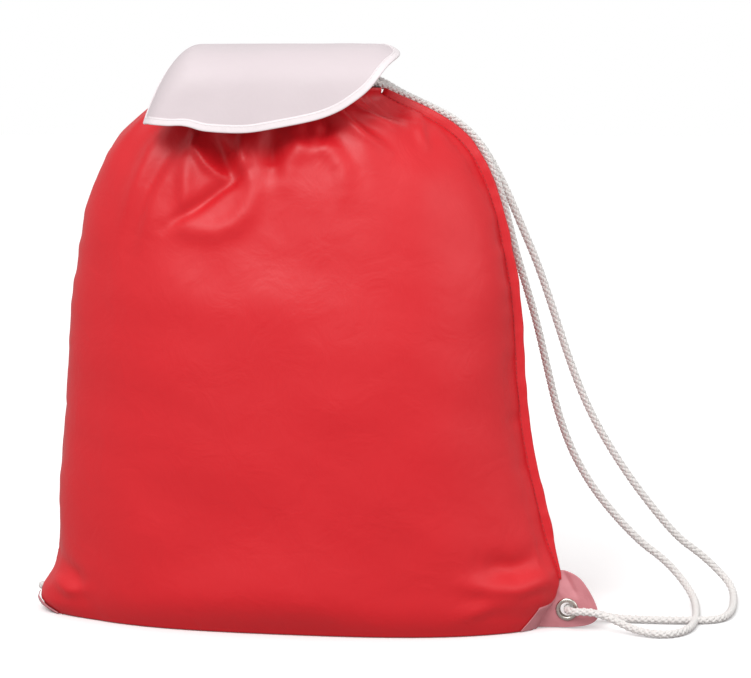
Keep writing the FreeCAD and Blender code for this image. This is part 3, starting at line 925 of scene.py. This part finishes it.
def build_hem(form, edge, sizes):
    """The turned hem: a soft closed roll of cloth that wraps the flap's free edge."""
    hem = sizes.hem / MM
    section = [
        (-0.55, 0.0), (-0.35, 0.55), (0.4, 0.62), (1.6, 0.42), (hem - 0.7, 0.45), (hem - 0.1, 0.32),
        (hem, 0.0), (hem, -0.75), (hem - 0.6, -1.0), (1.6, -0.95), (0.4, -1.0), (-0.35, -0.75),
    ]
    inward = inward_step(form, edge, False)
    rows = []
    flats = []
    for inset, lift in section:
        flat = edge + inward * inset
        rows.append(form.place(flat[:, 0], flat[:, 1]) + sheet_up(form, flat) * lift)
        flats.append(np.column_stack([along_lengths(edge), np.full(len(edge), inset)]))
    return closed_band("flap_hem_roll", np.array(rows).transpose(1, 0, 2),
                       np.array(flats).transpose(1, 0, 2), "hem_taffeta")


# ---------------------------------------------------------------- tunnels

def mouth_oval(share_from, share_to, count):
    """Points round the oval mouth between two places, given as shares of the whole way round."""
    half_depth = MOUTH_HALF_DEPTH
    flat = MOUTH_HALF_LENGTH - half_depth
    total = 4 * flat + 2 * math.pi * half_depth
    place = np.linspace(share_from, share_to, count) * total
    quarter = math.pi * half_depth / 2
    stretches = [quarter, 2 * flat, 2 * quarter, 2 * flat, quarter]
    starts = np.concatenate([[0], np.cumsum(stretches)])
    points = []
    for p in np.mod(place, total):
        if p < starts[1]:
            a = p / half_depth
            points.append((flat + half_depth * math.cos(a), -half_depth * math.sin(a)))
        elif p < starts[2]:
            points.append((flat - (p - starts[1]), -half_depth))
        elif p < starts[3]:
            a = (p - starts[2]) / half_depth
            points.append((-flat - half_depth * math.sin(a), -half_depth * math.cos(a)))
        elif p < starts[4]:
            points.append((-flat + (p - starts[3]), half_depth))
        else:
            a = (p - starts[4]) / half_depth
            points.append((flat + half_depth * math.sin(a), half_depth * math.cos(a)))
    return np.array(points)


def build_tunnel(name, side, sizes):
    """One gathered drawcord tunnel: a flattened tube of pleated cloth, open at both ends."""
    low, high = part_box("front_tunnel" if side < 0 else "back_tunnel")
    middle_z = (low.z + high.z) / 2 / MM
    columns = 300
    share = (0.085, 0.415) if side < 0 else (0.585, 0.915)
    line = mouth_oval(*share, columns)
    way = np.linspace(*share, columns) * MOUTH_CLOTH
    ahead = unit(np.gradient(line, axis=0))
    outward = np.column_stack([ahead[:, 1], -ahead[:, 0]])
    if (outward[columns // 2][1] > 0) != (side > 0):
        outward = -outward
    ring = np.linspace(0, 2 * math.pi, 40, endpoint=False)
    half_deep = 4.4
    half_tall = 9.2
    rows = []
    for a in ring:
        out = half_deep * math.copysign(abs(math.cos(a)) ** 0.7, math.cos(a))
        up = half_tall * math.copysign(abs(math.sin(a)) ** 0.85, math.sin(a))
        phase = way + 1.2 * noise_1d(way, SEED + 40 + side, 11.0) + 0.4 * math.sin(2 * a)
        pleat = np.sin(2 * np.pi * phase / 7.2) * (0.75 + 0.45 * noise_1d(way, SEED + 41, 9.0))
        swell = 1.25 * pleat * (0.6 + 0.4 * abs(math.cos(a)))
        frill = smooth(up, 3, 9) * (1.2 * np.sin(2 * np.pi * phase / 14.4 + 0.8) + 0.6 * pleat)
        radial = out + swell * math.copysign(1, out)
        point = line + outward * radial[:, None] + outward * (0.6 * frill * math.copysign(1, out))[:, None]
        height = middle_z + up + 0.5 * frill
        rows.append(np.column_stack([point[:, 0] + MOUTH_X, point[:, 1], height]))
    grid = np.array(rows).transpose(1, 0, 2)
    uv = np.stack(np.meshgrid(np.linspace(0, 58, len(ring)), way), axis=-1)
    mesh = mesh_from(name, grid.reshape(-1, 3) * MM, grid_faces(columns, len(ring), wrap=True),
                     uv.reshape(-1, 2) * MM)
    thing = new_object(name, mesh, "red_taffeta")
    face_outwards(thing)
    give_thickness(thing, sizes.cloth)
    seam_rows = []
    for up in (-7.4, 6.0):
        index = int(np.argmin(np.abs(half_tall * np.sign(np.sin(ring)) * np.abs(np.sin(ring)) ** 0.85 - up)
                              + 100 * (np.cos(ring) < 0)))
        lifted = grid[:, index, :].copy()
        lifted[:, :2] += outward * 0.25
        seam_rows.append(lifted * MM)
    return thing, seam_rows


def tunnel_cord_line(mirror, level):
    """The way of a cord inside the tunnels: a U, open towards its own corner, metres."""
    deep = MOUTH_HALF_DEPTH
    flat = MOUTH_HALF_LENGTH - deep
    end = TUNNEL_END - flat
    swing = math.sqrt(deep ** 2 - end ** 2)
    first = math.atan2(swing, end)
    front = np.linspace(first, math.pi / 2, 12)
    rear = np.linspace(0, math.pi / 2 - first, 12)
    points = [(flat + deep * math.cos(a), -deep * math.sin(a)) for a in front]
    points += [(x, -deep) for x in np.linspace(flat, -flat, 20)[1:-1]]
    points += [(-flat - deep * math.sin(a), -deep * math.cos(a)) for a in np.linspace(0, math.pi, 30)]
    points += [(x, deep) for x in np.linspace(-flat, flat, 20)[1:-1]]
    points += [(flat + deep * math.sin(a), deep * math.cos(a)) for a in rear]
    return np.array([(MOUTH_X + mirror * x, y, level) for x, y in points]) * MM


# ---------------------------------------------------------------- side seams

def build_seam(form, side, sign, width):
    """A stitched flange along one side, and the lines of its two rows of stitches."""
    z = np.arange(29.5, 317.5, 1.6)
    line = form.place(np.full(len(z), float(sign)), z, -1)
    out = -np.cross(unit(np.gradient(line, axis=0)), BACK)
    out *= np.sign(out @ ALONG)[:, None] * sign
    if sign < 0:
        out = 0.35 * out + 0.94 * BACK            # the left flange lies turned to the rear
    wobble = 0.7 * noise_1d(z, SEED + 60 + sign, 13.0) + 0.3 * noise_1d(z, SEED + 61 + sign, 4.5)
    edge = 0.35 * noise_1d(z, SEED + 62 + sign, 9.0)
    near_half = [(-3.0, -0.6), (-1.0, -1.0), (0.0, -1.15), (1.2, -0.95), (width - 0.8, -0.85), (width, -0.35)]
    section = near_half + [(reach, -lift) for reach, lift in reversed(near_half)]
    tapered = 0.25 + 0.75 * smooth(z, 31, 62) * (1 - 0.35 * smooth(z, 300, 317))
    rows = []
    for reach, lift in section:
        free = max(reach, 0) / width
        narrow = 1 if reach <= 0 else tapered
        rows.append(line + out * (reach * narrow + edge * free)[:, None]
                    + BACK * (lift + wobble * free)[:, None])
    uv = np.stack(np.meshgrid(np.linspace(0, 14, len(section)), z), axis=-1)
    band = closed_band(side + "_seam_band", np.array(rows).transpose(1, 0, 2), uv, "red_taffeta")
    return band, [(line + out * (0.4 + edge * 0.1)[:, None] + BACK * lift) * MM for lift in (-1.25, 1.25)]


# ---------------------------------------------------------------- tabs and eyelets

def revolve(name, profile, centre, axis, up, segments, material_name):
    """A ring: the profile (radius, offset along the axis) turned about an axis, in metres."""
    axis = np.array(axis, float)
    side = np.array(up, float)
    third = np.cross(axis, side)
    rows = []
    for a in np.linspace(0, 2 * math.pi, segments, endpoint=False):
        out = math.cos(a) * side + math.sin(a) * third
        rows.append([centre + out * r + axis * o for r, o in profile])
    faces = grid_faces(segments, len(profile), wrap=True, around=True)
    mesh = mesh_from(name, np.array(rows).reshape(-1, 3), faces)
    thing = new_object(name, mesh, material_name)
    face_outwards(thing)
    return thing


def arc_points(radius, offset, size_r, size_o, start, stop, count):
    """Part of an ellipse in (radius, offset), degrees from the radius direction."""
    return [(radius + size_r * math.cos(a), offset + size_o * math.sin(a))
            for a in np.radians(np.linspace(start, stop, count))]


def tab_place(side):
    """Origin, outward direction and rear-side normal of a tab, in metres, from its frame node."""
    low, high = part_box(side + "_eyelet")
    centre = (np.array(low) + np.array(high)) / 2
    heading = TWIST if side == "right" else math.radians(100.0)
    out = np.array([math.cos(heading), math.sin(heading), 0.0])
    rear = np.array([-math.sin(heading), math.cos(heading), 0.0])
    return centre, out, rear


# A tab's outer edge and its edge under the body: outwards from the eyelet, and height. Millimetres.
TAB_EDGE = [
    (-26, 0.6), (-12, 0.4), (2, 0.8), (13, 2.6), (19.0, 7.2), (18.6, 12.5), (15.5, 19), (12, 25),
    (7, 31), (1, 34.2), (-6, 35.0), (-12, 34.6),
]
TAB_INNER = [(-12, 34.6), (-13, 30), (-13, 24), (-13.5, 19), (-15, 14.5), (-19.5, 8), (-26, 0.6)]


def tab_sheet(name, side, layer, body_tree):
    """One layer of a corner tab, in rings from its eyelet's hole to its edge."""
    centre, out, rear = tab_place(side)
    edge = resample(route_curve(name + "_edge", [(u * MM, 0, z * MM) for u, z in TAB_EDGE]) / MM, 0.9)
    inner = resample(route_curve(name + "_inner", [(u * MM, 0, z * MM) for u, z in TAB_INNER]) / MM, 0.9)
    loop = np.concatenate([edge[:, [0, 2]], inner[1:-1][:, [0, 2]]])
    hole = 4.75
    count = len(loop)
    angles = np.arctan2(loop[:, 1] - centre[2] / MM, loop[:, 0])
    heart = np.array([0.0, centre[2] / MM])
    start_ring = heart + hole * np.column_stack([np.cos(angles), np.sin(angles)])
    rings = [start_ring + (loop - start_ring) * t for t in np.linspace(0, 1, 30) ** 0.85]
    flat = np.concatenate(rings)
    u = flat[:, 0]
    z = flat[:, 1]
    sign = -1.0 if layer == "front" else 1.0
    near = np.exp(-((u / 9) ** 2 + ((z - heart[1]) / 9) ** 2))
    crease = 1.5 * np.exp(-(((u + 0.55 * z - 16) / 2.2) ** 2)) * smooth(z, 16, 24)
    crease -= 1.1 * np.exp(-(((u + 0.62 * z - 9.5) / 2.6) ** 2)) * smooth(z, 14, 22)
    crease += 0.9 * np.exp(-(((u * 0.5 - z + 2) / 2.4) ** 2)) * smooth(-u, 4, 12)
    puff = 0.5 * noise_2d(u, z, SEED + 50, 6.0) + 0.9 * noise_2d(u, z, SEED + 51, 14.0)
    lift = sign * 0.42 + (crease + puff) * (1 - near) * (1.0 if side == "right" else 0.7)
    if side == "right":
        lift = lift - 0.02 * np.maximum(u - 6, 0) ** 2
    place = centre + out * (u * MM)[:, None] + rear * (lift * MM)[:, None]
    if side == "left":
        place[:, 0] += 3.5 * MM * smooth(z, 12, 30)
    place[:, 2] = z * MM
    if side == "right":
        wrap_corner(place, z, u <= 1, -rear * sign, body_tree)
    place[:, 2] = np.maximum(place[:, 2], 0.3 * MM)
    mesh = mesh_from(name, place, grid_faces(len(rings), count, wrap=True), flat * MM)
    return new_object(name, mesh, "tab_taffeta")


def wrap_corner(place, z, inner, toward, body_tree):
    """Lays the lower part of a tab's inner points on the body's cloth, just outside it."""
    gap = 0.9 * MM
    for i in np.flatnonzero(inner):
        found = body_tree.ray_cast(Vector(place[i] - toward * 0.2), Vector(toward), 0.4)[0]
        if found is None:
            continue
        cover = np.array(found) - toward * gap
        over = float(1 - smooth(z[i], 13.5, 19.5))
        if (place[i] - cover).dot(toward) > 0:
            place[i] = place[i] * (1 - over) + cover * over


def tab_strip(form):
    """The stretch of the left tab that is caught under the corner and shows along the base's edge."""
    share = np.linspace(0, 1, 60)
    s = -1.0 + 0.125 * share
    height = np.interp(share, (0, 0.2, 0.45, 0.75, 1), (11, 9.5, 8.0, 5.0, 0.8))
    height = height + 0.5 * noise_1d(share * 40, SEED + 70, 6.0)
    rows = []
    for lift in np.linspace(0, 1, 14):
        z = 0.4 + height * lift
        wall = form.place(s, z, -1)
        out = unit(np.cross(np.gradient(wall, axis=0), (0, 0, 1.0)))
        out *= np.sign(np.einsum("ij,ij->i", out, wall))[:, None]
        crease = 0.5 * np.sin(share * 17 + 3 * lift) * lift * (1 - lift)
        rows.append(wall + out * (1.1 + 0.5 * math.sin(math.pi * lift) + crease)[:, None])
    grid = np.array(rows)
    mesh = mesh_from("left_tab_strip", grid.reshape(-1, 3) * MM, grid_faces(14, 60),
                     np.stack(np.meshgrid(share * 40, np.linspace(0, 10, 14)), axis=-1).reshape(-1, 2) * MM)
    return new_object("left_tab_strip", mesh, "tab_taffeta")


def build_eyelet(side):
    """The rolled eyelet on a tab's front and the washer behind it."""
    centre, _, rear = tab_place(side)
    up = (0.0, 0.0, 1.0)
    profile = [(r * MM, o * MM) for r, o in
               arc_points(5.5, 0.95, 1.35, 1.0, -20, 180, 14)
               + [(4.12, 0.2), (4.05, -1.0), (4.2, -1.9), (4.7, -2.3)]
               + [(5.3, -2.2), (5.2, -1.7), (4.65, -1.6), (4.6, 0.2), (4.9, 0.55)]]
    eyelet = revolve(side + "_eyelet_ring", profile, centre, -rear, up, 64, "nickel")
    washer_profile = [(r * MM, o * MM) for r, o in
                      [(4.75, 0.75), (4.75, 1.3), (5.3, 1.6), (6.2, 1.5), (6.8, 1.1), (6.75, 0.8)]]
    washer = revolve(side + "_eyelet_washer_ring", washer_profile, centre, rear, up, 64, "nickel")
    return eyelet, washer


# ---------------------------------------------------------------- studio

AIM = Vector((0.0467, 0.0, 0.170))                # what the camera looks at, metres
CAMERA_DISTANCE = 1.8
CAMERA_AZIMUTH = math.radians(2)
CAMERA_ELEVATION = math.radians(8)
LAMPS = (                                         # place, power in watts and size, metres
    ("key_light", (-0.5, -1.35, 1.25), 8.8, 0.5),
    ("fill_light", (1.5, -1.1, 0.9), 7.0, 1.0),
    ("rim_light", (0.3, 1.3, 1.6), 2.0, 1.0),
)


def put_in_scene(name, data, place, heading):
    """An object at a place, with its own -Z turned to a heading."""
    thing = bpy.data.objects.new(name, data)
    thing.location = place
    thing.rotation_euler = heading.to_track_quat("-Z", "Y").to_euler()
    bpy.context.scene.collection.objects.link(thing)
    return thing


def make_floor():
    """The plain floor under the bag."""
    half = 4.0
    mesh = bpy.data.meshes.new("floor")
    mesh.from_pydata([(-half, -half, 0), (half, -half, 0), (half, half, 0), (-half, half, 0)],
                     [], [(0, 1, 2, 3)])
    new_object("floor", mesh, "backdrop")


def make_world():
    """Even white light from all round; the camera sees it as pure white."""
    world = bpy.data.worlds.new("studio")
    world.use_nodes = True
    seen = add(world.node_tree, "ShaderNodeLightPath")
    strength = add(world.node_tree, "ShaderNodeMapRange", values={3: 0.64, 4: 1.0},
                   links={0: seen.outputs["Is Camera Ray"]})
    background = world.node_tree.nodes["Background"]
    background.inputs["Color"].default_value = (1, 1, 1, 1)
    world.node_tree.links.new(strength.outputs[0], background.inputs["Strength"])
    bpy.context.scene.world = world


def make_lights():
    """One broad soft sun and three lamps."""
    target = Vector((0.02, 0.0, 0.17))
    sun = bpy.data.lights.new("soft_sun", "SUN")
    sun.energy = 1.3
    sun.angle = 0.9
    put_in_scene("soft_sun", sun, (0, 0, 0), Vector((0.3, 0.95, -1.0)))
    for name, place, power, size in LAMPS:
        lamp = bpy.data.lights.new(name, "AREA")
        lamp.energy = power
        lamp.size = size
        put_in_scene(name, lamp, place, target - Vector(place))


def make_camera():
    """A long lens from the front, a little from the right and from above."""
    lens = bpy.data.cameras.new("camera")
    lens.lens = 145
    lens.sensor_width = 36
    back = Vector((math.sin(CAMERA_AZIMUTH) * math.cos(CAMERA_ELEVATION),
                   -math.cos(CAMERA_AZIMUTH) * math.cos(CAMERA_ELEVATION), math.sin(CAMERA_ELEVATION)))
    bpy.context.scene.camera = put_in_scene("camera", lens, AIM + back * CAMERA_DISTANCE, -back)


# ---------------------------------------------------------------- operators

class BACKPACK_OT_studio(bpy.types.Operator):
    """Sets up the pale floor, the soft lights and the camera"""
    bl_idname = "backpack.studio"
    bl_label = "Studio"

    def execute(self, context):
        make_floor()
        make_world()
        make_lights()
        make_camera()
        context.scene.view_settings.view_transform = "Standard"
        return {"FINISHED"}


class BACKPACK_OT_cords(bpy.types.Operator):
    """Makes the two shoulder cords and their stretches inside the tunnels"""
    bl_idname = "backpack.cords"
    bl_label = "Cords"

    def execute(self, context):
        sizes = context.scene.backpack_sizes
        for side, route, length in (("right", RIGHT_ROUTE, 1.16), ("left", LEFT_ROUTE, 1.15)):
            cord, points = braid(side + "_strap_cord", route_curve(side + "_line", route), sizes)
            finish_piece(cord, "bag", "cord_yarn", side + "_drawcord_strap")
        for side, mirror, level in (("right", 1, 324.2), ("left", -1, 330.8)):
            cord, _ = braid(side + "_tunnel_cord", tunnel_cord_line(mirror, level), sizes)
            finish_piece(cord, "bag", "cord_yarn", side + "_drawcord_tunnel")
            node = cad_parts[side + "_cord_join"]
            node.data.materials.clear()
            node.data.materials.append(material("sleeve"))
        return {"FINISHED"}


class BACKPACK_OT_body(bpy.types.Operator):
    """Makes the front and back panels of the filled bag"""
    bl_idname = "backpack.body"
    bl_label = "Body"

    def execute(self, context):
        sizes = context.scene.backpack_sizes
        form = BodyForm()
        for name, side, nodes in (("front_panel_cloth", -1, ("front_panel", "bottom_seam_allowance")),
                                  ("back_panel_cloth", 1, ("back_panel",))):
            points = panel_points(form, side)
            rows, columns = points.shape[:2]
            mesh = mesh_from(name, points.reshape(-1, 3) * MM, grid_faces(rows, columns), panel_uv(points))
            cloth = new_object(name, mesh, "red_taffeta")
            middle = cloth.data.polygons[(rows // 2) * (columns - 1) + columns // 2]
            if (middle.normal.y > 0) != (side > 0):
                cloth.data.flip_normals()
            give_thickness(cloth, sizes.cloth)
            finish_piece(cloth, "bag", "red_cloth", *nodes)
        return {"FINISHED"}


class BACKPACK_OT_seams(bpy.types.Operator):
    """Makes the two side seams and their topstitching"""
    bl_idname = "backpack.seams"
    bl_label = "Side seams"

    def execute(self, context):
        sizes = context.scene.backpack_sizes
        form = BodyForm()
        for side, sign in (("right", 1), ("left", -1)):
            band, rows = build_seam(form, side, sign, sizes.flange / MM)
            finish_piece(band, "bag", "red_cloth", side + "_side_seam")
            finish_piece(sew(side + "_seam_stitches", rows, "red_thread"), "bag", "red_cloth")
        return {"FINISHED"}


class BACKPACK_OT_tunnels(bpy.types.Operator):
    """Makes the gathered tunnels round the mouth"""
    bl_idname = "backpack.tunnels"
    bl_label = "Drawcord tunnels"

    def execute(self, context):
        sizes = context.scene.backpack_sizes
        for name, side in (("front_tunnel", -1), ("back_tunnel", 1)):
            tunnel, rows = build_tunnel(name + "_cloth", side, sizes)
            finish_piece(tunnel, "bag", "red_cloth", name)
            stitches = sew(name + "_stitches", rows, "red_thread", 0.0022)
            finish_piece(stitches, "bag", "red_cloth")
        return {"FINISHED"}


class BACKPACK_OT_flap(bpy.types.Operator):
    """Makes the flap, its hem and its stitching"""
    bl_idname = "backpack.flap"
    bl_label = "Flap"

    def execute(self, context):
        sizes = context.scene.backpack_sizes
        sheet, form, edge = build_flap(sizes)
        hem = build_hem(form, edge, sizes)
        inner = edge + inward_step(form, edge, False) * (sizes.hem / MM - 1.0)
        lift = sheet_up(form, inner)
        top_row = (form.place(inner[:, 0], inner[:, 1]) + lift * 0.52) * MM
        under_row = (form.place(inner[:, 0], inner[:, 1]) - lift * 1.05) * MM
        stitches = sew("flap_hem_stitches", [top_row, under_row], "white_thread", radius=0.00017)
        across = np.linspace(-58, 44, 80)
        anchor_rows = [form.place(across, np.full(80, b)) for b in (2.5, 8.5)]
        anchor_rows = [(row + np.array([0, 0.25, 0])) * MM for row in anchor_rows]
        anchor = sew("flap_anchor_stitches", anchor_rows, "white_thread")
        finish_piece(anchor, "bag", "white_cloth")
        for piece in (sheet, hem, stitches):
            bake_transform(piece)
        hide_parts("flap", "flap_anchor")
        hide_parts("flap_hem")
        return {"FINISHED"}


class BACKPACK_OT_tabs(bpy.types.Operator):
    """Makes the corner tabs and the eyelets"""
    bl_idname = "backpack.tabs"
    bl_label = "Corner tabs and eyelets"

    def execute(self, context):
        sizes = context.scene.backpack_sizes
        form = BodyForm()
        points = []
        faces = []
        for side in (-1, 1):
            grid = panel_points(form, side)
            quads = grid_faces(grid.shape[0], grid.shape[1], start=len(points))
            faces += quads if side < 0 else [quad[::-1] for quad in quads]
            points += [tuple(p) for p in grid.reshape(-1, 3) * MM]
        body_tree = BVHTree.FromPolygons(points, faces)
        for side in ("right", "left"):
            for layer in ("front", "rear"):
                name = f"{side}_tab_{layer}"
                tab = tab_sheet(name, side, layer, body_tree)
                face_outwards(tab)
                give_thickness(tab, sizes.cloth * 0.8, 0.0)
                finish_piece(tab, "bag", "white_cloth", f"{side}_corner_tab_{layer}")
            if side == "left":
                strip = tab_strip(form)
                give_thickness(strip, sizes.cloth * 0.8, 0.0)
                finish_piece(strip, "bag", "white_cloth")
            eyelet, washer = build_eyelet(side)
            finish_piece(eyelet, "bag", "eyelet_metal", side + "_eyelet")
            finish_piece(washer, "bag", "eyelet_metal", side + "_eyelet_washer")
        return {"FINISHED"}


class BACKPACK_PT_panel(bpy.types.Panel):
    """The backpack's operators, sizes and colours"""
    bl_idname = "BACKPACK_PT_panel"
    bl_label = "Drawstring Backpack"
    bl_space_type = "VIEW_3D"
    bl_region_type = "UI"
    bl_category = "Backpack"

    def draw(self, context):
        layout = self.layout
        for operator in OPERATORS:
            layout.operator(operator.bl_idname)
        for group in (context.scene.backpack_sizes, context.scene.backpack_colours):
            box = layout.box()
            for name in group.bl_rna.properties.keys():
                if name not in ("rna_type", "name"):
                    box.prop(group, name)


OPERATORS = (
    BACKPACK_OT_studio, BACKPACK_OT_cords, BACKPACK_OT_body, BACKPACK_OT_seams,
    BACKPACK_OT_tunnels, BACKPACK_OT_flap, BACKPACK_OT_tabs,
)
CLASSES = (BackpackSizes, BackpackColours, *OPERATORS, BACKPACK_PT_panel)


def register():
    """Adds the classes and the two groups of settings."""
    for each in CLASSES:
        bpy.utils.register_class(each)
    bpy.types.Scene.backpack_sizes = bpy.props.PointerProperty(type=BackpackSizes)
    bpy.types.Scene.backpack_colours = bpy.props.PointerProperty(type=BackpackColours)


def unregister():
    """Takes the settings and the classes out again."""
    del bpy.types.Scene.backpack_colours
    del bpy.types.Scene.backpack_sizes
    for each in reversed(CLASSES):
        bpy.utils.unregister_class(each)


def main():
    """Makes the whole backpack."""
    register()
    bpy.ops.backpack.studio()
    bpy.ops.backpack.cords()
    bpy.ops.backpack.body()
    bpy.ops.backpack.seams()
    bpy.ops.backpack.tunnels()
    bpy.ops.backpack.flap()
    bpy.ops.backpack.tabs()


if __name__ == "__main__":
    main()
